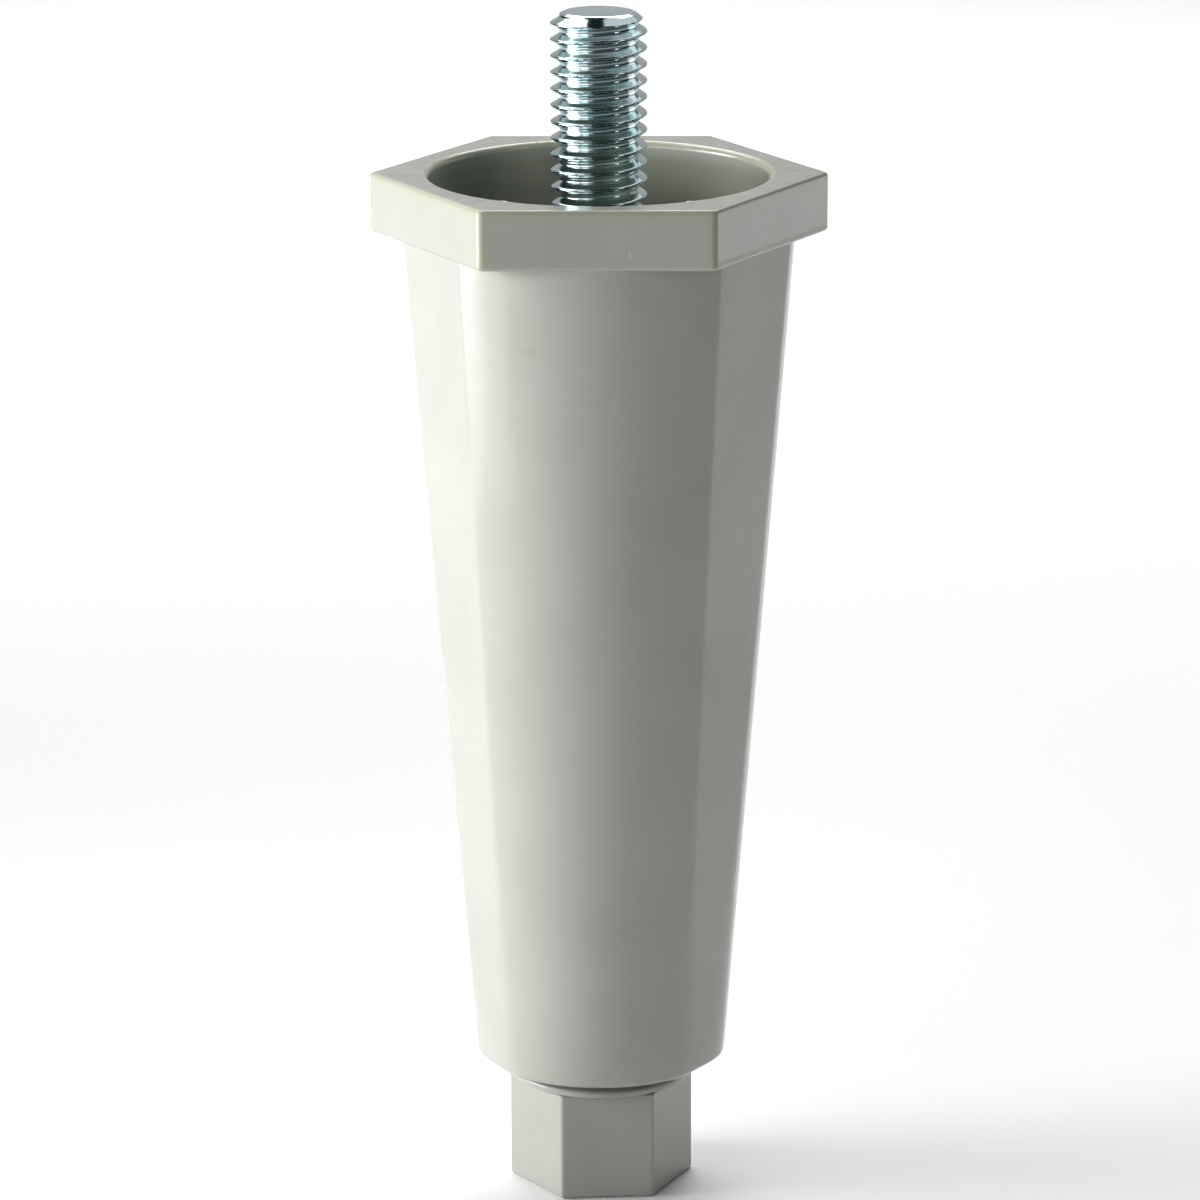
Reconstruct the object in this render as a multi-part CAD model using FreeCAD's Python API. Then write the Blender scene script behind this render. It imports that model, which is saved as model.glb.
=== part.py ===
import FreeCAD, Part
import os, math
from FreeCAD import Vector, Rotation, Placement

os.makedirs("parts", exist_ok=True)

# Adjustable cabinet leg, millimetres, +Z up.
# Origin: on the leg's axis, on the surface that the foot stands on.
# Front of the leg is -Y (one side of the hexagonal flange faces it).

# ---- flange ---------------------------------------------------------------
flange_af = 38.5          # across flats
flange_top = 102.55       # height of the flange's upper face above the floor
flange_thick = 5.8
flange_corner_r = 0.8     # rounded vertical edges
flange_edge_r = 0.45      # rounded rims of the flange
opening_r = 16.45         # cup wall at the mouth
opening_edge_r = 0.6

# ---- tapered body ---------------------------------------------------------
body_bottom = 13.1
body_r_bottom = 12.32     # cone radius at body_bottom
body_r_top = 19.00        # cone radius at the flange's underside
body_bottom_edge_r = 0.6
flat_count = 3            # flats under alternate sides of the flange
flat_first_deg = 60.0     # from the front, towards +X
flat_turn_deg = -3.0      # the flats sit a little round from the flange's sides
flat_a_top = 17.95        # distance of the flat from the axis at the flange's underside
flat_a_bottom = 11.91     # and at the body's bottom
flat_edge_r = 1.2         # soft edge between a flat and the round wall

# ---- cored inside ---------------------------------------------------------
wall = 2.3                # wall left outside the core at its floor
core_floor = 36.0
post_r_floor = 9.2
post_r_top = 8.6
post_top = 89.75
rib_count = 3
rib_thick = 2.2
rib_top = 84.0
rib_first_deg = 0.0

# ---- mounting stud, 3/8-16 ------------------------------------------------
thread_r = 4.70           # plated major radius
shank_r = 4.20            # rolled blank under the thread
stud_top = 118.2
stud_end_chamfer = 0.85
stud_head_af = 12.7
stud_head_bottom = 58.0
stud_head_h = 5.0

# ---- levelling screw, 3/8-16 ----------------------------------------------
screw_bore_clear = 0.05   # radial running clearance in the leg's bore
screw_top = 51.0
screw_end_chamfer = 0.9
screw_head_af = 11.1
screw_head_bottom = 2.6
screw_head_h = 4.0
bore_top = 54.0
bore_mouth_chamfer = 0.5

# ---- washer and foot ------------------------------------------------------
foot_af = 15.9
foot_h = 10.85
foot_turn_deg = 4.8       # how far the foot stands turned from the flange
foot_corner_r = 0.45
foot_edge_r = 0.35
washer_r = 8.95
washer_bore_r = 5.0
washer_thick = 0.75
washer_edge_r = 0.25

Z = Vector(0, 0, 1)


def front_angle(deg):
    """Angle about +Z of a direction given from the front (-Y) towards +X."""
    return deg - 90.0


def hex_prism(af, z0, h, turn_deg=0.0):
    """Hexagonal prism with a side facing -Y at turn 0."""
    r = af / math.sqrt(3.0)
    pts = []
    for i in range(6):
        a = math.radians(60.0 * i + turn_deg)
        pts.append(Vector(r * math.cos(a), r * math.sin(a), z0))
    pts.append(pts[0])
    return Part.Face(Part.makePolygon(pts)).extrude(Vector(0, 0, h))


def vertical_edges(shape):
    out = []
    for e in shape.Edges:
        a, b = e.Vertexes[0].Point, e.Vertexes[-1].Point
        if abs(a.x - b.x) < 1e-6 and abs(a.y - b.y) < 1e-6 and abs(a.z - b.z) > 1e-3:
            out.append(e)
    return out


def level_edges(shape, z):
    return [e for e in shape.Edges
            if abs(e.BoundBox.ZMin - z) < 1e-5 and abs(e.BoundBox.ZMax - z) < 1e-5]


def revolve(points):
    """Solid of revolution about Z from (r, z) points."""
    pts = [Vector(r, 0, z) for r, z in points]
    pts.append(pts[0])
    return Part.Face(Part.makePolygon(pts)).revolve(Vector(0, 0, 0), Z, 360)


def body_r(z):
    k = (body_r_top - body_r_bottom) / (flange_top - flange_thick - body_bottom)
    return body_r_bottom + k * (z - body_bottom)


# ---- leg body -------------------------------------------------------------
flange_bottom = flange_top - flange_thick
cone = Part.makeCone(body_r_bottom, body_r_top, flange_bottom - body_bottom,
                     Vector(0, 0, body_bottom), Z)

slope = (flat_a_top - flat_a_bottom) / (flange_bottom - body_bottom)
tilt = math.degrees(math.atan(slope))
for i in range(flat_count):
    block = Part.makeBox(20, 60, 200, Vector(0, -30, -80))
    # lean the block's inner face with the taper, set it at its distance, turn it round
    block.Placement = Placement(Vector(flat_a_bottom, 0, body_bottom),
                                Rotation(Vector(0, 1, 0), tilt))
    a = front_angle(flat_first_deg + flat_turn_deg + 360.0 / flat_count * i)
    block.rotate(Vector(0, 0, 0), Z, a)
    cone = cone.cut(block)

# soften the edges of the flats, then the bottom rim
long_edges = [e for e in cone.Edges if e.BoundBox.ZLength > 60 and e.Vertexes[0].Point.distanceToPoint(e.Vertexes[-1].Point) > 60]
seamless = []
for e in long_edges:
    faces = cone.ancestorsOfType(e, Part.Face)
    if len(faces) == 2 and not faces[0].isSame(faces[1]):
        seamless.append(e)
cone = cone.makeFillet(flat_edge_r, seamless)
cone = cone.makeFillet(body_bottom_edge_r, level_edges(cone, body_bottom))

flange = hex_prism(flange_af, flange_bottom, flange_thick)
flange = flange.makeFillet(flange_corner_r, vertical_edges(flange))
flange = flange.makeFillet(flange_edge_r, level_edges(flange, flange_top) + level_edges(flange, flange_bottom))

outer = flange.fuse(cone).removeSplitter()

core = revolve([(0, core_floor), (body_r(core_floor) - wall, core_floor),
                (opening_r, flange_top), (0, flange_top)])
post = revolve([(0, core_floor - 1), (post_r_floor, core_floor - 1),
                (post_r_top, post_top - 0.5), (post_r_top - 0.5, post_top), (0, post_top)])
core = core.cut(post)
for i in range(rib_count):
    rib = Part.makeBox(20, rib_thick, rib_top - core_floor + 1,
                       Vector(0, -rib_thick / 2.0, core_floor - 1))
    rib.rotate(Vector(0, 0, 0), Z, front_angle(rib_first_deg + 360.0 / rib_count * i))
    core = core.cut(rib)
leg_body = outer.cut(core)

# round the mouth of the cup
mouth_edges = [e for e in level_edges(leg_body, flange_top)
               if e.Curve.TypeId == "Part::GeomCircle" and abs(e.Curve.Radius - opening_r) < 1e-4]
print("mouth edges found:", len(mouth_edges))
leg_body = leg_body.makeFillet(opening_edge_r, mouth_edges)

# ---- mounting stud --------------------------------------------------------
head = hex_prism(stud_head_af, stud_head_bottom, stud_head_h)
stud = revolve([(0, stud_head_bottom + 1), (shank_r, stud_head_bottom + 1), (shank_r, post_top),
                (thread_r, post_top), (thread_r, stud_top - stud_end_chamfer),
                (thread_r - stud_end_chamfer, stud_top), (0, stud_top)])
stud = stud.fuse(head).removeSplitter()
leg_body = leg_body.cut(stud)

# ---- bore for the levelling screw -----------------------------------------
bore_r = thread_r + screw_bore_clear
bore = revolve([(0, body_bottom - 1), (bore_r + bore_mouth_chamfer, body_bottom - 1),
                (bore_r + bore_mouth_chamfer, body_bottom),
                (bore_r, body_bottom + bore_mouth_chamfer), (bore_r, bore_top),
                (0, bore_top + 2.0)])
leg_body = leg_body.cut(bore)

# ---- levelling screw ------------------------------------------------------
screw = revolve([(0, screw_head_bottom + 1), (thread_r, screw_head_bottom + 1),
                 (thread_r, screw_top - screw_end_chamfer),
                 (thread_r - screw_end_chamfer, screw_top), (0, screw_top)])
screw = screw.fuse(hex_prism(screw_head_af, screw_head_bottom, screw_head_h, foot_turn_deg)).removeSplitter()

# ---- foot -----------------------------------------------------------------
foot = hex_prism(foot_af, 0, foot_h, foot_turn_deg)
foot = foot.makeFillet(foot_corner_r, vertical_edges(foot))
foot = foot.makeFillet(foot_edge_r, level_edges(foot, 0.0))
foot = foot.cut(screw)

# ---- washer ---------------------------------------------------------------
washer = Part.makeCylinder(washer_r, washer_thick, Vector(0, 0, foot_h), Z)
washer = washer.cut(Part.makeCylinder(washer_bore_r, washer_thick + 2, Vector(0, 0, foot_h - 1), Z))
rims = [e for e in washer.Edges if e.Curve.TypeId == "Part::GeomCircle" and abs(e.Curve.Radius - washer_r) < 1e-6]
washer = washer.makeFillet(washer_edge_r, rims)

nodes = {"leg_body": leg_body, "mounting_stud": stud, "levelling_screw": screw,
         "foot": foot, "foot_washer": washer}
for name, shape in nodes.items():
    if len(shape.Solids) != 1 or not shape.isValid():
        raise RuntimeError("%s: %d solids, valid %s" % (name, len(shape.Solids), shape.isValid()))
    solid = shape.Solids[0]
    solid.exportStep("parts/%s.step" % name)
    b = solid.BoundBox
    print("%-16s volume %9.1f  x %.2f..%.2f  y %.2f..%.2f  z %.2f..%.2f" % (
        name, solid.Volume, b.XMin, b.XMax, b.YMin, b.YMax, b.ZMin, b.ZMax))
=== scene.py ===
import math

import bmesh
import bpy
import numpy as np
from mathutils import Matrix, Vector, noise


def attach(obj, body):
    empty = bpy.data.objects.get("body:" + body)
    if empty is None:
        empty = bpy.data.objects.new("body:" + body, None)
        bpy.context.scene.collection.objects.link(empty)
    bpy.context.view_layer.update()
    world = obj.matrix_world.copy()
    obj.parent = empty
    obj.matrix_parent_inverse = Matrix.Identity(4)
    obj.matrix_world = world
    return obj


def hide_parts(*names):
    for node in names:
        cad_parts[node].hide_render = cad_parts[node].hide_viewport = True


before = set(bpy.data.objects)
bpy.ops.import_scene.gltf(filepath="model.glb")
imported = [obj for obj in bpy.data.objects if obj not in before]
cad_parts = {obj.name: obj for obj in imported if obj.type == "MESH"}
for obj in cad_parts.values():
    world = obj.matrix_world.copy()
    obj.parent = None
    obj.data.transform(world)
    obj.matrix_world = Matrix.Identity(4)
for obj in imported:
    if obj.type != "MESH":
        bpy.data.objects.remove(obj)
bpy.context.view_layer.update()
scene = bpy.context.scene

MM = 0.001

# ---------------------------------------------------------------------------
# sizes, millimetres, the same as the construction
# ---------------------------------------------------------------------------
FLANGE_AF, FLANGE_TOP, FLANGE_BOT = 38.5, 102.55, 96.75
FLANGE_CORNER_R, FLANGE_EDGE_R = 0.8, 0.45
OPEN_R, OPEN_EDGE_R = 16.45, 0.60
BODY_BOT, BODY_R_BOT, BODY_R_TOP = 13.1, 12.32, 19.00
BODY_EDGE_R = 0.6
FLAT_A_TOP, FLAT_A_BOT = 17.95, 11.91
FLAT_DIRS = [math.radians(57.0 - 90.0 + 120.0 * i) for i in range(3)]
CORE_FLOOR, CORE_R_FLOOR = 36.0, 11.849
POST_TOP, POST_R_TOP, POST_R_FLOOR = 89.75, 8.6, 9.2
RIB_T, RIB_TOP = 2.2, 84.0
RIB_DIRS = [math.radians(-90.0 + 120.0 * i) for i in range(3)]
PITCH, THREAD_R, THREAD_DEPTH = 1.5875, 4.70, 0.93
SHANK_R = 4.20
STUD_TOP, STUD_CHAMFER = 118.2, 0.85
STUD_HEAD_AF, STUD_HEAD_BOT, STUD_HEAD_H = 12.7, 58.0, 5.0
SCREW_TOP, SCREW_CHAMFER = 51.0, 0.9
SCREW_HEAD_AF, SCREW_HEAD_BOT, SCREW_HEAD_H = 11.1, 2.6, 4.0
BORE_R, BORE_TOP, BORE_MOUTH = 4.75, 54.0, 0.5
FOOT_AF, FOOT_H, FOOT_CORNER_R, FOOT_EDGE_R = 15.9, 10.85, 0.45, 0.35
FOOT_TURN = math.radians(4.8)
WASHER_R, WASHER_BORE, WASHER_T, WASHER_EDGE = 8.95, 5.0, 0.75, 0.25


# ---------------------------------------------------------------------------
# mesh helpers
# ---------------------------------------------------------------------------
def skin(name, rings, smooth_deg=35.0, flip=False):
    """A closed skin through rings of points (n, 3) in millimetres; a single point closes an end."""
    verts, index = [], []
    for ring in rings:
        ring = np.asarray(ring, float).reshape(-1, 3)
        index.append(list(range(len(verts), len(verts) + len(ring))))
        verts.extend((ring * MM).tolist())
    faces = []
    for a, b in zip(index[:-1], index[1:]):
        if len(a) == 1 and len(b) > 1:
            n = len(b)
            faces += [(a[0], b[(i + 1) % n], b[i]) for i in range(n)]
        elif len(b) == 1 and len(a) > 1:
            n = len(a)
            faces += [(a[i], a[(i + 1) % n], b[0]) for i in range(n)]
        else:
            n = len(a)
            faces += [(a[i], a[(i + 1) % n], b[(i + 1) % n], b[i]) for i in range(n)]
    mesh = bpy.data.meshes.new(name)
    mesh.from_pydata(verts, [], faces)
    bm = bmesh.new()
    bm.from_mesh(mesh)
    bmesh.ops.remove_doubles(bm, verts=bm.verts, dist=2e-7)
    bmesh.ops.dissolve_degenerate(bm, edges=bm.edges, dist=1e-7)
    bmesh.ops.recalc_face_normals(bm, faces=bm.faces)
    bm.to_mesh(mesh)
    bm.free()
    finish_mesh(mesh, smooth_deg)
    obj = bpy.data.objects.new(name, mesh)
    scene.collection.objects.link(obj)
    return obj


def finish_mesh(mesh, smooth_deg):
    mesh.polygons.foreach_set("use_smooth", [True] * len(mesh.polygons))
    mesh.set_sharp_from_angle(angle=math.radians(smooth_deg))
    mesh.update()


def ring(r, z, thetas):
    r = np.broadcast_to(np.asarray(r, float), thetas.shape)
    z = np.broadcast_to(np.asarray(z, float), thetas.shape)
    return np.stack([r * np.cos(thetas), r * np.sin(thetas), z], 1)


def hex_r(thetas, apothem, corner_r, turn=0.0):
    """Polar outline of a hexagon with rounded corners, a corner at angle 0 + turn."""
    t = thetas - turn
    third = math.radians(60.0)
    half = math.radians(30.0)
    from_face = np.mod(t, third) - half
    from_corner = np.mod(t + half, third) - half
    flat = apothem / np.cos(from_face)
    if corner_r <= 0:
        return flat
    d = (apothem - corner_r) / math.cos(half)
    limit = math.atan2(corner_r * math.sin(half), d + corner_r * math.cos(half))
    root = np.maximum(corner_r ** 2 - (d * np.sin(from_corner)) ** 2, 0.0)
    arc = d * np.cos(from_corner) + np.sqrt(root)
    return np.where(np.abs(from_corner) <= limit, arc, flat)


def smooth_min(a, b, k):
    h = np.maximum(k - np.abs(a - b), 0.0) / k
    return np.minimum(a, b) - h * h * k * 0.25


def smooth_max(a, b, k):
    return -smooth_min(-a, -b, k)


def wobble(points, size, seed):
    """Smooth noise in -1..1 at points (n, 3) in millimetres; size is the feature size."""
    off = Vector((seed * 17.3, seed * 5.1, seed * 9.7))
    return np.array([noise.noise(Vector(p) / size + off) for p in points])


def angles(base_step, fine):
    """Angles round the circle: an even step, with finer steps near some directions (centre, half width, step) in degrees."""
    out = list(np.arange(0.0, 360.0, base_step))
    for centre, half, step in fine:
        out += list(np.mod(np.arange(centre - half, centre + half + 1e-6, step), 360.0))
    out = np.unique(np.round(np.mod(out, 360.0), 3))
    keep = [out[0]]
    for a in out[1:]:
        if a - keep[-1] > 0.09:
            keep.append(a)
    return np.radians(np.array(keep))


# ---------------------------------------------------------------------------
# leg body: one moulding, built as one skin from the bore's end, round the
# outside and over the rim, down into the cored cup and over the post
# ---------------------------------------------------------------------------
def body_r(thetas, z):
    t = (z - BODY_BOT) / (FLANGE_BOT - BODY_BOT)
    round_r = BODY_R_BOT + (BODY_R_TOP - BODY_R_BOT) * t
    flat_a = FLAT_A_BOT + (FLAT_A_TOP - FLAT_A_BOT) * t
    soft = 0.13 + 0.42 * min(max((52.0 - z) / 38.0, 0.0), 1.0) ** 2
    r = np.full(thetas.shape, round_r)
    for d in FLAT_DIRS:
        c = np.cos(thetas - d)
        r = smooth_min(r, np.where(c > 0.3, flat_a / np.maximum(c, 0.3), 99.0), soft)
    return r


NICKS = [(238.2, 0.55, 0.20), (239.6, 0.40, 0.13), (236.9, 0.30, 0.08),
         (300.6, 0.55, 0.19), (301.9, 0.35, 0.10), (304.6, 0.30, 0.07), (310.4, 0.40, -0.10),
         (262.5, 0.30, 0.05), (276.0, 0.35, 0.05), (24.0, 0.45, 0.07), (112.0, 0.40, 0.08), (168.0, 0.35, 0.06)]


def rim_flash(thetas):
    """Height of the thin flash left along the mouth of the cup."""
    deg = np.degrees(thetas)
    h = np.zeros(thetas.shape)
    for centre, half, height in NICKS:
        d = (deg - centre + 180.0) % 360.0 - 180.0
        h += height * np.exp(-(d / half) ** 2)
    pts = np.stack([np.cos(thetas) * 17, np.sin(thetas) * 17, np.zeros_like(thetas)], 1)
    h += 0.018 * wobble(pts, 1.1, 3) + 0.015 * wobble(pts, 0.45, 4)
    return h


def make_leg():
    fine = [(60.0 * i, 3.6, 0.3) for i in range(6)]
    for d in FLAT_DIRS:
        for side in (-1, 1):
            fine.append((math.degrees(d) + side * 18.3, 4.0, 0.6))
    for centre, half, _h in NICKS:
        fine.append((centre, 1.4, 0.2))
    th = angles(1.0, fine)
    rings = []
    # bore for the levelling screw, from its blind end down
    rings.append([(0, 0, BORE_TOP + 2.0)])
    rings.append(ring(BORE_R, BORE_TOP, th))
    rings.append(ring(BORE_R, BODY_BOT + BORE_MOUTH, th))
    rings.append(ring(BORE_R + BORE_MOUTH, BODY_BOT, th))
    # bottom face and its rounded rim
    edge = body_r(th, BODY_BOT)
    for f in (0.35, 0.7):
        rings.append(ring(BORE_R + BORE_MOUTH + f * (edge - BODY_EDGE_R - BORE_R - BORE_MOUTH), BODY_BOT, th))
    for k in range(7):
        a = math.radians(90.0 * k / 6)
        z = BODY_BOT + BODY_EDGE_R * (1 - math.cos(a))
        rings.append(ring(body_r(th, z) - BODY_EDGE_R * (1 - math.sin(a)), z, th))
    # tapered wall, with the slight unevenness of a moulding
    for z in np.linspace(BODY_BOT + BODY_EDGE_R, FLANGE_BOT, 44)[1:]:
        r = body_r(th, z)
        pts = ring(r, z, th)
        r = r + 0.020 * wobble(pts, 16.0, 1) + 0.006 * wobble(pts, 5.0, 2)
        rings.append(ring(r, z, th))
    wall_top = r
    # flange: underside, rounded rims, sides
    ap = FLANGE_AF / 2.0

    def outline(inset):
        return hex_r(th, ap - inset - 0.006, max(FLANGE_CORNER_R - inset, 0.3))

    inner = outline(FLANGE_EDGE_R)
    for f in (0.5, 1.0):
        rings.append(ring(wall_top + f * (np.maximum(inner, wall_top) - wall_top), FLANGE_BOT, th))
    for k in range(1, 6):
        a = math.radians(90.0 * k / 5)
        rings.append(ring(np.maximum(outline(FLANGE_EDGE_R * (1 - math.sin(a))), wall_top),
                          FLANGE_BOT + FLANGE_EDGE_R * (1 - math.cos(a)), th))
    for z in np.linspace(FLANGE_BOT + FLANGE_EDGE_R, FLANGE_TOP - FLANGE_EDGE_R, 9)[1:]:
        pts = ring(outline(0.0), z, th)
        sink = 0.012 * (wobble(pts, 9.0, 5) - 1.0)
        rings.append(ring(outline(0.0) + sink, z, th))
    for k in range(1, 6):
        a = math.radians(90.0 * k / 5)
        rings.append(ring(outline(FLANGE_EDGE_R * (1 - math.cos(a))),
                          FLANGE_TOP - FLANGE_EDGE_R * (1 - math.sin(a)), th))
    # upper face in to the mouth, then the rounded mouth with its flash
    rim_r = OPEN_R + OPEN_EDGE_R
    last = outline(FLANGE_EDGE_R)
    for f in (0.25, 0.5, 0.75, 0.9):
        r = last + f * (rim_r - last)
        rings.append(ring(r, FLANGE_TOP - 0.01 * (1 + wobble(ring(r, 0, th), 4.0, 6)), th))
    flash = rim_flash(th)
    flash = np.minimum(flash, 0.20)
    for k in range(8):
        a = math.radians(90.0 * k / 7)
        w = math.exp(-((k - 2.5) / 1.6) ** 2)
        z = FLANGE_TOP - OPEN_EDGE_R * (1 - math.cos(a))
        rings.append(ring(rim_r - OPEN_EDGE_R * math.sin(a) - 0.25 * flash * w,
                          np.minimum(z + flash * w, FLANGE_TOP), th))
    # cup wall down to the core's floor
    for f in np.linspace(0, 1, 15)[1:-1]:
        z = (FLANGE_TOP - OPEN_EDGE_R) + f * (CORE_FLOOR + 1.0 - FLANGE_TOP + OPEN_EDGE_R)
        t = (z - CORE_FLOOR) / (FLANGE_TOP - CORE_FLOOR)
        r = CORE_R_FLOOR + (OPEN_R - CORE_R_FLOOR) * t
        rings.append(ring(r + 0.012 * wobble(ring(r, z, th), 12.0, 7), z, th))
    for k in range(5):
        a = math.radians(90.0 * k / 4)
        rings.append(ring(CORE_R_FLOOR - 0.9 * (1 - math.cos(a)), CORE_FLOOR + 0.9 * (1 - math.sin(a)), th))
    for k in range(5):
        a = math.radians(90.0 * k / 4)
        rings.append(ring(POST_R_FLOOR + 0.9 * (1 - math.sin(a)), CORE_FLOOR + 0.9 * (1 - math.cos(a)), th))
    for f in np.linspace(0, 1, 9)[1:]:
        z = CORE_FLOOR + 0.9 + f * (POST_TOP - 0.5 - CORE_FLOOR - 0.9)
        rings.append(ring(POST_R_FLOOR + f * (POST_R_TOP - POST_R_FLOOR), z, th))
    for k in range(1, 6):
        a = math.radians(90.0 * k / 5)
        rings.append(ring(POST_R_TOP - 0.5 * (1 - math.cos(a)), POST_TOP - 0.5 * (1 - math.sin(a)), th))
    rings.append(ring(6.2, POST_TOP, th))
    # seat of the stud
    rings.append(ring(SHANK_R, POST_TOP, th))
    rings.append(ring(SHANK_R, STUD_HEAD_BOT + STUD_HEAD_H, th))
    head = hex_r(th, STUD_HEAD_AF / 2.0, 0.0)
    rings.append(ring(head, STUD_HEAD_BOT + STUD_HEAD_H, th))
    rings.append(ring(head, STUD_HEAD_BOT, th))
    rings.append([(0, 0, STUD_HEAD_BOT)])
    leg = skin("leg_moulding", rings, 32.0)

    # ribs between the post and the wall
    for i, d in enumerate(RIB_DIRS):
        bm = bmesh.new()
        bmesh.ops.create_cube(bm, size=1.0)
        for v in bm.verts:
            z = CORE_FLOOR - 1.0 if v.co.z < 0 else RIB_TOP
            r = 7.6 if v.co.x < 0 else (12.6 if v.co.z < 0 else 16.2)
            half = RIB_T / 2.0 - (0.25 if v.co.z > 0 else 0.0)
            y = half if v.co.y > 0 else -half
            v.co = Vector((r * math.cos(d) - y * math.sin(d), r * math.sin(d) + y * math.cos(d), z)) * MM
        top = [e for e in bm.edges if all(v.co.z > (RIB_TOP - 0.01) * MM for v in e.verts)
               and abs((e.verts[0].co - e.verts[1].co).length) > 5 * MM]
        bmesh.ops.bevel(bm, geom=top, offset=0.4 * MM, segments=4, affect="EDGES", profile=0.5)
        bmesh.ops.recalc_face_normals(bm, faces=bm.faces)
        rib_mesh = bpy.data.meshes.new("rib_%d" % i)
        bm.to_mesh(rib_mesh)
        bm.free()
        rib = bpy.data.objects.new("rib_%d" % i, rib_mesh)
        scene.collection.objects.link(rib)
        mod = leg.modifiers.new("rib", "BOOLEAN")
        mod.operation, mod.solver, mod.object = "UNION", "EXACT", rib
        bpy.context.view_layer.update()
        done = bpy.data.meshes.new_from_object(leg.evaluated_get(bpy.context.evaluated_depsgraph_get()))
        leg.modifiers.clear()
        old = leg.data
        leg.data = done
        bpy.data.meshes.remove(old)
        bpy.data.objects.remove(rib)
    leg.data.name = "leg_moulding"
    finish_mesh(leg.data, 32.0)
    return leg


# ---------------------------------------------------------------------------
# threads
# ---------------------------------------------------------------------------
def thread_depth(u):
    """Depth below the crest, u in pitches from the middle of a crest."""
    v = np.abs(np.mod(u + 0.5, 1.0) - 0.5)
    flank = THREAD_DEPTH * math.tan(math.radians(30.0)) / PITCH
    d = (v - 0.045) / flank * THREAD_DEPTH
    d = smooth_max(d, np.zeros_like(d), 0.22)
    return smooth_min(d, np.full_like(d, THREAD_DEPTH), 0.16)


def threaded_rings(z0, z1, top_z, chamfer, phase_z, columns, rows_a_pitch, seed):
    """Rings of a right-hand thread between z0 and z1 with a chamfered upper end; phase_z is a crest at angle 0."""
    th = np.linspace(0, 2 * math.pi, columns, endpoint=False)
    rings = []
    n = int(round((z1 - z0) / PITCH * rows_a_pitch))
    for z in np.linspace(z0, z1, n + 1):
        u = (z - phase_z) / PITCH - th / (2 * math.pi)
        r = THREAD_R - thread_depth(u)
        limit = THREAD_R - 1.45 * chamfer + (top_z - z) * 1.25
        r = smooth_min(r, np.full_like(r, limit), 0.16) if limit < THREAD_R + 0.3 else r
        rings.append(ring(r, z, th))
    return th, rings


def make_stud():
    th = np.linspace(0, 2 * math.pi, 128, endpoint=False)
    head = hex_r(th, STUD_HEAD_AF / 2.0, 0.0)
    low = [[(0, 0, STUD_HEAD_BOT)], ring(head, STUD_HEAD_BOT, th), ring(head, STUD_HEAD_BOT + STUD_HEAD_H, th),
           ring(SHANK_R, STUD_HEAD_BOT + STUD_HEAD_H, th), ring(SHANK_R, POST_TOP - 0.02, th)]
    z_end = STUD_TOP - 0.22
    th, rings = threaded_rings(POST_TOP, z_end, STUD_TOP, STUD_CHAMFER, 114.696, 160, 36, 1)
    # close the upper end of the thread with a slightly rounded end face
    top = rings[-1]
    r_top = np.hypot(top[:, 0], top[:, 1])
    end = []
    for k, (dr, dz) in enumerate(((0.06, 0.10), (0.16, 0.16), (0.34, 0.20), (0.9, 0.205), (2.0, 0.215))):
        end.append(ring(np.minimum(r_top - dr, 3.55 - dr), z_end + dz, th))
    end.append([(0, 0, STUD_TOP)])
    return skin("zinc_stud", low + rings + end, 48.0)


def make_screw():
    th = np.linspace(0, 2 * math.pi, 96, endpoint=False)
    head = hex_r(th, SCREW_HEAD_AF / 2.0, 0.0, FOOT_TURN)
    z_head = SCREW_HEAD_BOT + SCREW_HEAD_H
    low = [[(0, 0, SCREW_HEAD_BOT)], ring(head, SCREW_HEAD_BOT, th), ring(head, z_head, th),
           ring(THREAD_R, z_head, th), ring(THREAD_R, FOOT_H - 0.3, th), ring(SHANK_R - 0.1, FOOT_H - 0.2, th)]
    z_end = SCREW_TOP - 0.2
    th, rings = threaded_rings(FOOT_H, z_end, SCREW_TOP, SCREW_CHAMFER, FOOT_H + 0.4, 96, 26, 2)
    top = rings[-1]
    r_top = np.hypot(top[:, 0], top[:, 1])
    end = []
    for dr, dz in ((0.06, 0.10), (0.16, 0.16), (0.34, 0.19), (1.2, 0.195)):
        end.append(ring(np.minimum(r_top - dr, 3.45 - dr), z_end + dz, th))
    end.append([(0, 0, SCREW_TOP)])
    return skin("zinc_screw", low + rings + end, 48.0)


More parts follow.
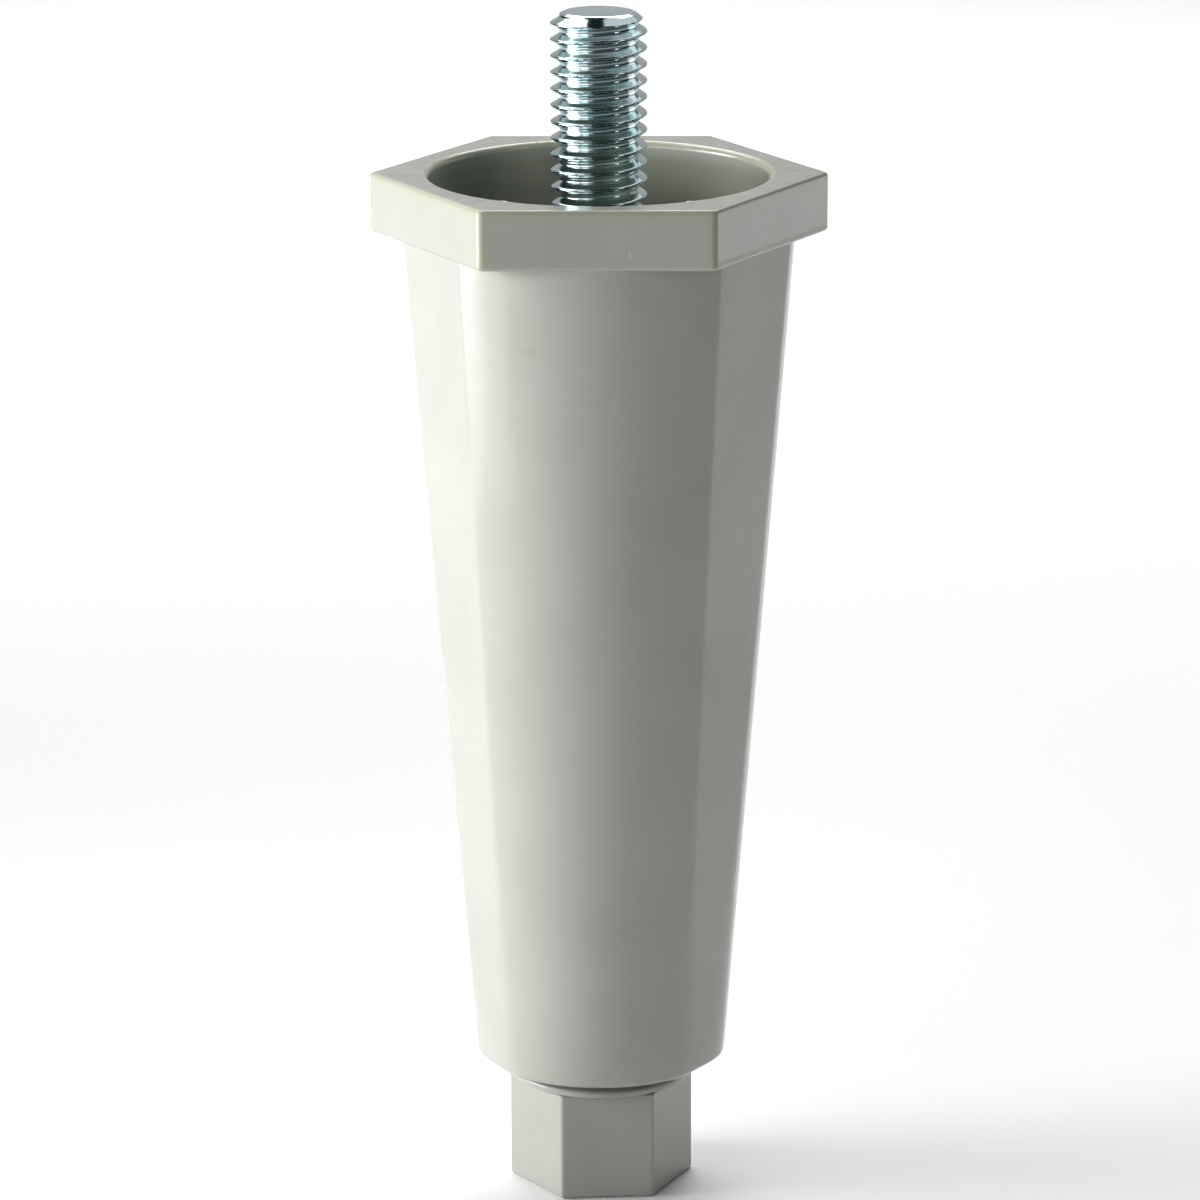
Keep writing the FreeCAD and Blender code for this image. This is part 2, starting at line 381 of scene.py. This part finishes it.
# ---------------------------------------------------------------------------
# foot and washer
# ---------------------------------------------------------------------------
def make_foot():
    th = angles(2.0, [(math.degrees(FOOT_TURN) + 60.0 * i, 7.5, 0.5) for i in range(6)])
    ap = FOOT_AF / 2.0

    def outline(inset):
        return hex_r(th, ap - inset - 0.004, max(FOOT_CORNER_R - inset, 0.2), FOOT_TURN)

    rings = [[(0, 0, 0.0)]]
    base = outline(FOOT_EDGE_R)
    for f in (0.3, 0.6, 0.85):
        rings.append(ring(base * f, 0.0, th))
    for k in range(6):
        a = math.radians(90.0 * k / 5)
        rings.append(ring(outline(FOOT_EDGE_R * (1 - math.sin(a))), FOOT_EDGE_R * (1 - math.cos(a)), th))
    top_r = 0.16
    for z in np.linspace(FOOT_EDGE_R, FOOT_H - top_r, 14)[1:]:
        pts = ring(outline(0.0), z, th)
        rings.append(ring(outline(0.0) + 0.010 * (wobble(pts, 5.0, 8) - 1.0), z, th))
    for k in range(1, 5):
        a = math.radians(90.0 * k / 4)
        rings.append(ring(outline(top_r * (1 - math.cos(a))), FOOT_H - top_r * (1 - math.sin(a)), th))
    for f in (0.3, 0.7):
        rings.append(ring(outline(top_r) + f * (THREAD_R - outline(top_r)), FOOT_H, th))
    rings.append(ring(THREAD_R, FOOT_H, th))
    rings.append(ring(THREAD_R, SCREW_HEAD_BOT + SCREW_HEAD_H, th))
    head = hex_r(th, SCREW_HEAD_AF / 2.0, 0.0, FOOT_TURN)
    rings.append(ring(head, SCREW_HEAD_BOT + SCREW_HEAD_H, th))
    rings.append(ring(head, SCREW_HEAD_BOT, th))
    rings.append([(0, 0, SCREW_HEAD_BOT)])
    return skin("hex_foot", rings, 32.0)


def make_washer():
    th = angles(2.0, [])
    z0, z1 = FOOT_H, FOOT_H + WASHER_T
    rings = [ring(WASHER_BORE, z0, th)]
    for f in (0.5, 0.8):
        rings.append(ring(WASHER_BORE + f * (WASHER_R - WASHER_EDGE - WASHER_BORE), z0, th))
    for k in range(6):
        a = math.radians(90.0 * k / 5)
        rings.append(ring(WASHER_R - WASHER_EDGE * (1 - math.sin(a)), z0 + WASHER_EDGE * (1 - math.cos(a)), th))
    for k in range(6):
        a = math.radians(90.0 * k / 5)
        rings.append(ring(WASHER_R - WASHER_EDGE * (1 - math.cos(a)), z1 - WASHER_EDGE * (1 - math.sin(a)), th))
    for f in (0.8, 0.5):
        rings.append(ring(WASHER_BORE + f * (WASHER_R - WASHER_EDGE - WASHER_BORE), z1, th))
    rings.append(ring(WASHER_BORE, z1, th))
    rings.append(rings[0])
    return skin("foot_disc", rings, 40.0)


# ---------------------------------------------------------------------------
# materials
# ---------------------------------------------------------------------------
class Nodes:
    def __init__(self, name):
        self.mat = bpy.data.materials.new(name)
        self.mat.use_nodes = True
        self.tree = self.mat.node_tree
        self.tree.nodes.clear()
        self.out = self.tree.nodes.new("ShaderNodeOutputMaterial")
        self.bsdf = self.tree.nodes.new("ShaderNodeBsdfPrincipled")
        self.link(self.bsdf.outputs[0], self.out.inputs[0])
        self.coord = self.tree.nodes.new("ShaderNodeTexCoord").outputs["Object"]

    def link(self, a, b):
        self.tree.links.new(a, b)

    def noise(self, scale, detail=3.0, rough=0.55, vector=None, distort=0.0):
        n = self.tree.nodes.new("ShaderNodeTexNoise")
        n.inputs["Scale"].default_value = scale
        n.inputs["Detail"].default_value = detail
        n.inputs["Roughness"].default_value = rough
        n.inputs["Distortion"].default_value = distort
        self.link(vector or self.coord, n.inputs["Vector"])
        return n.outputs[0]

    def ramp(self, value, stops):
        n = self.tree.nodes.new("ShaderNodeValToRGB")
        el = n.color_ramp.elements
        while len(el) < len(stops):
            el.new(0.5)
        for e, (pos, col) in zip(el, stops):
            e.position = pos
            e.color = (col[0], col[1], col[2], 1.0)
        self.link(value, n.inputs[0])
        return n.outputs[0]

    def range(self, value, a, b, c, d, smooth=False):
        n = self.tree.nodes.new("ShaderNodeMapRange")
        if smooth:
            n.interpolation_type = "SMOOTHSTEP"
        for i, v in zip((1, 2, 3, 4), (a, b, c, d)):
            n.inputs[i].default_value = v
        self.link(value, n.inputs[0])
        return n.outputs[0]

    def math(self, op, a, b=None):
        n = self.tree.nodes.new("ShaderNodeMath")
        n.operation = op
        for i, v in ((0, a), (1, b)):
            if v is None:
                continue
            if isinstance(v, (int, float)):
                n.inputs[i].default_value = v
            else:
                self.link(v, n.inputs[i])
        return n.outputs[0]

    def mix(self, fac, a, b, mode="MIX"):
        n = self.tree.nodes.new("ShaderNodeMix")
        n.data_type = "RGBA"
        n.blend_type = mode
        if isinstance(fac, (int, float)):
            n.inputs[0].default_value = fac
        else:
            self.link(fac, n.inputs[0])
        for i, v in ((6, a), (7, b)):
            if isinstance(v, tuple):
                n.inputs[i].default_value = (v[0], v[1], v[2], 1.0)
            else:
                self.link(v, n.inputs[i])
        return n.outputs[2]

    def spot(self, centre, size):
        """1 at a point of the surface, falling to 0 at its edge; centre and half sizes in millimetres."""
        m = self.tree.nodes.new("ShaderNodeMapping")
        m.vector_type = "POINT"
        m.inputs["Location"].default_value = [-c / s for c, s in zip(centre, size)]
        m.inputs["Scale"].default_value = [1000.0 / s for s in size]
        self.link(self.coord, m.inputs["Vector"])
        g = self.tree.nodes.new("ShaderNodeTexGradient")
        g.gradient_type = "SPHERICAL"
        self.link(m.outputs[0], g.inputs[0])
        return g.outputs[1]

    def bump(self, height, strength, distance, normal=None):
        n = self.tree.nodes.new("ShaderNodeBump")
        n.inputs["Strength"].default_value = strength
        n.inputs["Distance"].default_value = distance
        self.link(height, n.inputs["Height"])
        if normal is not None:
            self.link(normal, n.inputs["Normal"])
        return n.outputs[0]

    def axis(self, which):
        n = self.tree.nodes.new("ShaderNodeSeparateXYZ")
        self.link(self.coord, n.inputs[0])
        return n.outputs[which]


def grey_plastic(name, base, marks):
    m = Nodes(name)
    dark = tuple(c * 0.955 for c in base)
    light = tuple(min(c * 1.035, 1.0) for c in base)
    large = m.noise(85.0, 3.0, 0.5)
    col = m.ramp(large, [(0.32, dark), (0.68, light)])
    # very fine speckle of the pigment
    fine = m.noise(2600.0, 2.0, 0.6)
    col = m.mix(m.range(fine, 0.62, 0.80, 0.0, 0.10), col, tuple(c * 1.18 for c in base))
    col = m.mix(m.range(fine, 0.36, 0.22, 0.0, 0.10), col, tuple(c * 0.80 for c in base))
    # this switch also turns on the painted shade inside the cup below
    if marks:
        up = m.axis(2)
        level = m.tree.nodes.new("ShaderNodeVectorMath")
        level.operation = "MULTIPLY"
        level.inputs[1].default_value = (1.0, 1.0, 0.0)
        m.link(m.coord, level.inputs[0])
        span = m.tree.nodes.new("ShaderNodeVectorMath")
        span.operation = "LENGTH"
        m.link(level.outputs[0], span.inputs[0])
        out = span.outputs["Value"]
        # rubbed upper face of the flange, mottled between a cool and a warm grey
        top = m.range(up, 0.10243, 0.10254, 0.0, 1.0)
        tone = m.ramp(m.noise(430.0, 4.0, 0.65), [(0.36, (base[0] * 0.90, base[1] * 0.87, base[2] * 0.98)),
                                                  (0.64, (base[0] * 1.08, base[1] * 1.07, base[2] * 0.98))])
        col = m.mix(m.math("MULTIPLY", top, 0.75), col, tone)
        rub = m.range(m.noise(1100.0, 4.0, 0.7), 0.46, 0.66, 0.0, 0.30)
        col = m.mix(m.math("MULTIPLY", top, rub), col, tuple(min(c * 1.30, 1.0) for c in base))
        # yellowed corners and upper edge of the flange
        aged = (base[0] * 1.05, base[1] * 1.01, base[2] * 0.79)
        patchy = m.range(m.noise(260.0, 3.0, 0.6), 0.30, 0.62, 0.35, 1.0)
        corner = m.math("MULTIPLY", m.range(out, 0.0213, 0.0219, 0.0, 0.65, True), m.range(up, 0.0966, 0.0969, 0.0, 1.0))
        edge = m.math("MULTIPLY", m.range(out, 0.0189, 0.0192, 0.0, 0.65), m.range(up, 0.1008, 0.1022, 0.0, 1.0, True))
        edge = m.math("MULTIPLY", edge, m.range(up, 0.10254, 0.10246, 0.3, 1.0))
        col = m.mix(m.math("MULTIPLY", m.math("MAXIMUM", corner, edge), patchy), col, aged)
        # painted shade: the inside of the cup, down to the post, is darkened, standing in for the shadow that falls in
        # the cup
        lean = m.math("SUBTRACT", out, m.math("MULTIPLY", up, 0.06914))
        cup_painted_shade = m.math("MULTIPLY", m.range(lean, 0.0102, 0.0097, 0.0, 1.0), m.range(up, 0.10225, 0.10075, 0.0, 1.0))
        cup_painted_shade = m.math("MULTIPLY", cup_painted_shade, m.range(up, 0.030, 0.034, 0.0, 0.88))
        col = m.mix(cup_painted_shade, col, (base[0] * 0.68, base[1] * 0.68, base[2] * 0.60))
        # paler, warmer band round the rounded mouth
        rim = m.math("MULTIPLY", m.range(out, 0.01716, 0.01702, 0.0, 1.0), m.range(up, 0.10186, 0.10206, 0.0, 0.85))
        col = m.mix(m.math("MULTIPLY", rim, m.range(m.noise(500.0, 3.0, 0.6), 0.30, 0.60, 0.55, 1.0)), col,
                    (base[0] * 1.34, base[1] * 1.31, base[2] * 1.10))
        # bright torn flash and small dark specks on the rim, a speck low in the cup's wall
        for x, y, z, half in ((-8.67, -14.45, 102.45, 0.42), (-7.98, -14.84, 102.45, 0.40), (-8.3, -14.65, 102.35, 0.30),
                              (8.38, -14.62, 102.45, 0.46), (9.8, -13.7, 102.45, 0.30), (2.6, -16.65, 102.45, 0.25)):
            col = m.mix(m.range(m.spot((x, y, z), (half, half, half)), 0.15, 0.5, 0.0, 0.9, True), col, (0.92, 0.92, 0.88))
        for x, y, z, half in ((-8.2, -14.05, 102.05, 0.34), (10.6, -13.1, 102.4, 0.26), (15.2, 5.6, 101.7, 0.34)):
            col = m.mix(m.range(m.spot((x, y, z), (half, half, half)), 0.15, 0.6, 0.0, 0.8, True), col,
                        tuple(c * 0.14 for c in base))
        # a small pale nick on the front side of the flange, and a faint smudge on the wall
        col = m.mix(m.range(m.spot((3.05, -19.25, 98.45), (0.26, 0.5, 0.75)), 0.25, 0.75, 0.0, 0.40, True), col,
                    tuple(min(c * 1.6, 1.0) for c in base))
        col = m.mix(m.range(m.spot((-6.32, -17.23, 88.6), (1.5, 2.6, 1.0)), 0.1, 0.9, 0.0, 0.16, True), col,
                    tuple(c * 0.6 for c in base))
        # a few hairline marks
        hair = m.noise(420.0, 5.0, 0.75, distort=2.5)
        col = m.mix(m.range(hair, 0.70, 0.80, 0.0, 0.12), col, tuple(min(c * 1.3, 1.0) for c in base))
    m.link(col, m.bsdf.inputs["Base Color"])
    r = m.range(m.noise(240.0, 4.0, 0.6), 0.3, 0.7, 0.13, 0.20)
    m.link(r, m.bsdf.inputs["Roughness"])
    m.bsdf.inputs["IOR"].default_value = 1.5
    n1 = m.bump(m.noise(330.0, 2.0, 0.5), 0.18, 0.00006)
    n2 = m.bump(fine, 0.15, 0.00001, n1)
    m.link(n2, m.bsdf.inputs["Normal"])
    return m.mat


def zinc(name):
    m = Nodes(name)
    tint = m.noise(180.0, 3.0, 0.6)
    col = m.ramp(tint, [(0.30, (0.44, 0.60, 0.61)), (0.50, (0.53, 0.66, 0.67)), (0.72, (0.64, 0.68, 0.72))])
    fine = m.noise(3800.0, 3.0, 0.7)
    col = m.mix(m.range(fine, 0.60, 0.80, 0.0, 0.35), col, (0.34, 0.45, 0.47))
    m.link(col, m.bsdf.inputs["Base Color"])
    m.bsdf.inputs["Metallic"].default_value = 1.0
    m.link(m.range(m.noise(700.0, 4.0, 0.65), 0.3, 0.7, 0.07, 0.16), m.bsdf.inputs["Roughness"])
    n1 = m.bump(m.noise(900.0, 3.0, 0.6), 0.25, 0.00003)
    m.link(m.bump(fine, 0.2, 0.00001, n1), m.bsdf.inputs["Normal"])
    return m.mat


BASE = (0.375, 0.385, 0.345)
leg_mat = grey_plastic("moulded_grey", BASE, True)
# the foot and its disc take a darker copy of the grey plastic: partly their own tone, partly painted shade from the
# body above
foot_tone_and_shade_mat = grey_plastic("moulded_grey_foot", tuple(c * 0.90 for c in BASE), False)
zinc_mat = zinc("bright_zinc")

leg = make_leg()
stud = make_stud()
screw = make_screw()
foot = make_foot()
washer = make_washer()

for obj, mat, body, node, slot in (
        (leg, leg_mat, "leg", "leg_body", "grey_plastic"),
        (stud, zinc_mat, "leg", "mounting_stud", "zinc_steel"),
        (screw, zinc_mat, "foot", "levelling_screw", "zinc_steel"),
        (foot, foot_tone_and_shade_mat, "foot", "foot", "foot_plastic"),
        (washer, foot_tone_and_shade_mat, "washer", "foot_washer", "foot_plastic")):
    obj.data.materials.clear()
    obj.data.materials.append(mat)
    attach(obj, body)
    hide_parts(node)

# ---------------------------------------------------------------------------
# floor, light, camera
# ---------------------------------------------------------------------------
bm = bmesh.new()
bmesh.ops.create_grid(bm, x_segments=8, y_segments=8, size=6.0)
floor_mesh = bpy.data.meshes.new("floor")
bm.to_mesh(floor_mesh)
bm.free()
floor = bpy.data.objects.new("floor", floor_mesh)
scene.collection.objects.link(floor)
fm = Nodes("pale_floor")
fm.link(fm.ramp(fm.noise(3.0, 2.0), [(0.3, (0.87, 0.87, 0.87)), (0.7, (0.89, 0.89, 0.89))]), fm.bsdf.inputs["Base Color"])
fm.bsdf.inputs["Roughness"].default_value = 0.9
fm.bsdf.inputs["Specular IOR Level"].default_value = 0.1
floor_mesh.materials.append(fm.mat)

world = bpy.data.worlds.new("studio")
scene.world = world
world.use_nodes = True
world.node_tree.nodes["Background"].inputs[0].default_value = (0.45, 0.80, 0.92, 1.0)


def area(name, place, target, size, power, beam):
    light = bpy.data.lights.new(name, "AREA")
    light.shape = "RECTANGLE"
    light.size, light.size_y = size
    light.energy = power
    light.spread = math.radians(beam)
    obj = bpy.data.objects.new(name, light)
    obj.location = place
    obj.rotation_euler = (Vector(target) - Vector(place)).to_track_quat("-Z", "Y").to_euler()
    obj.visible_camera = False
    scene.collection.objects.link(obj)
    return obj


# place, what it faces, width and height, brightness of its face, width of its beam in degrees
LIGHTS = {
    "key_left": ((-0.25, -0.03, 0.145), (0.0, -0.02, 0.108), (0.22, 0.12), 1.98, 62.0),
    "key_low": ((-0.25, -0.025, 0.036), (0.0, -0.01, 0.012), (0.20, 0.05), 1.98, 60.0),
    "low_card": ((-0.13, -0.015, 0.060), (0.0, -0.015, 0.075), (0.056, 0.056), 3.35, 180.0),
    "low_card_front": ((-0.122, -0.062, 0.056), (0.0, -0.015, 0.075), (0.040, 0.060), 1.5, 180.0),
    "front_left": ((-0.42, -0.58, 0.40), (0.0, 0.0, 0.08), (0.40, 0.40), 1.4, 180.0),
    "front_face": ((-0.215, -0.215, 0.15), (0.0, -0.01, 0.112), (0.14, 0.12), 0.65, 70.0),
    "top_left": ((-0.40, 0.44, 0.71), (-0.40, 0.44, 0.0), (0.50, 0.92), 1.9, 180.0),
    "top_right": ((0.335, 0.44, 0.71), (0.335, 0.44, 0.0), (0.53, 0.92), 0.8, 180.0),
    "fill_right": ((0.36, 0.19, 0.103), (0.0, 0.0, 0.09), (0.25, 0.20), 0.30, 80.0),
    "stud_right": ((0.26, -0.18, 0.258), (0.0, 0.0, 0.113), (0.07, 0.07), 0.15, 24.0),
    "right_card": ((0.145, 0.055, 0.034), (0.0, 0.0, 0.060), (0.085, 0.056), 0.22, 180.0),
    "back_card": ((0.0, 0.80, 0.36), (0.0, 0.0, 0.12), (1.3, 0.56), 0.27, 140.0),
    "floor_wash": ((0.0, 0.85, 0.85), (0.0, 0.33, 0.0), (0.8, 0.5), 2.18, 90.0),
}
WORLD = 0.025
world.node_tree.nodes["Background"].inputs[1].default_value = WORLD
for name, (place, target, size, bright, beam) in LIGHTS.items():
    area(name, place, target, size, bright * math.pi * size[0] * size[1], beam)

cam_data = bpy.data.cameras.new("camera")
cam = bpy.data.objects.new("camera", cam_data)
scene.collection.objects.link(cam)
turn = math.radians(0.5)
roll = math.radians(-0.15)
cam_data.sensor_width = 36.0
cam_data.lens = 36.0 * 5682.157 / 1200.0
cam_data.clip_start = 0.02
cam_data.clip_end = 50.0
cam.location = (0.53962 * math.sin(turn), -0.53962 * math.cos(turn), 0.206873)
cam.rotation_euler = (Matrix.Rotation(turn, 3, "Z") @ Matrix.Rotation(math.radians(90.0 - 15.25), 3, "X")
                      @ Matrix.Rotation(roll, 3, "Z")).to_euler()
scene.camera = cam

scene.view_settings.view_transform = "Standard"
scene.view_settings.look = "None"
scene.view_settings.exposure = 0.0
scene.view_settings.gamma = 1.0
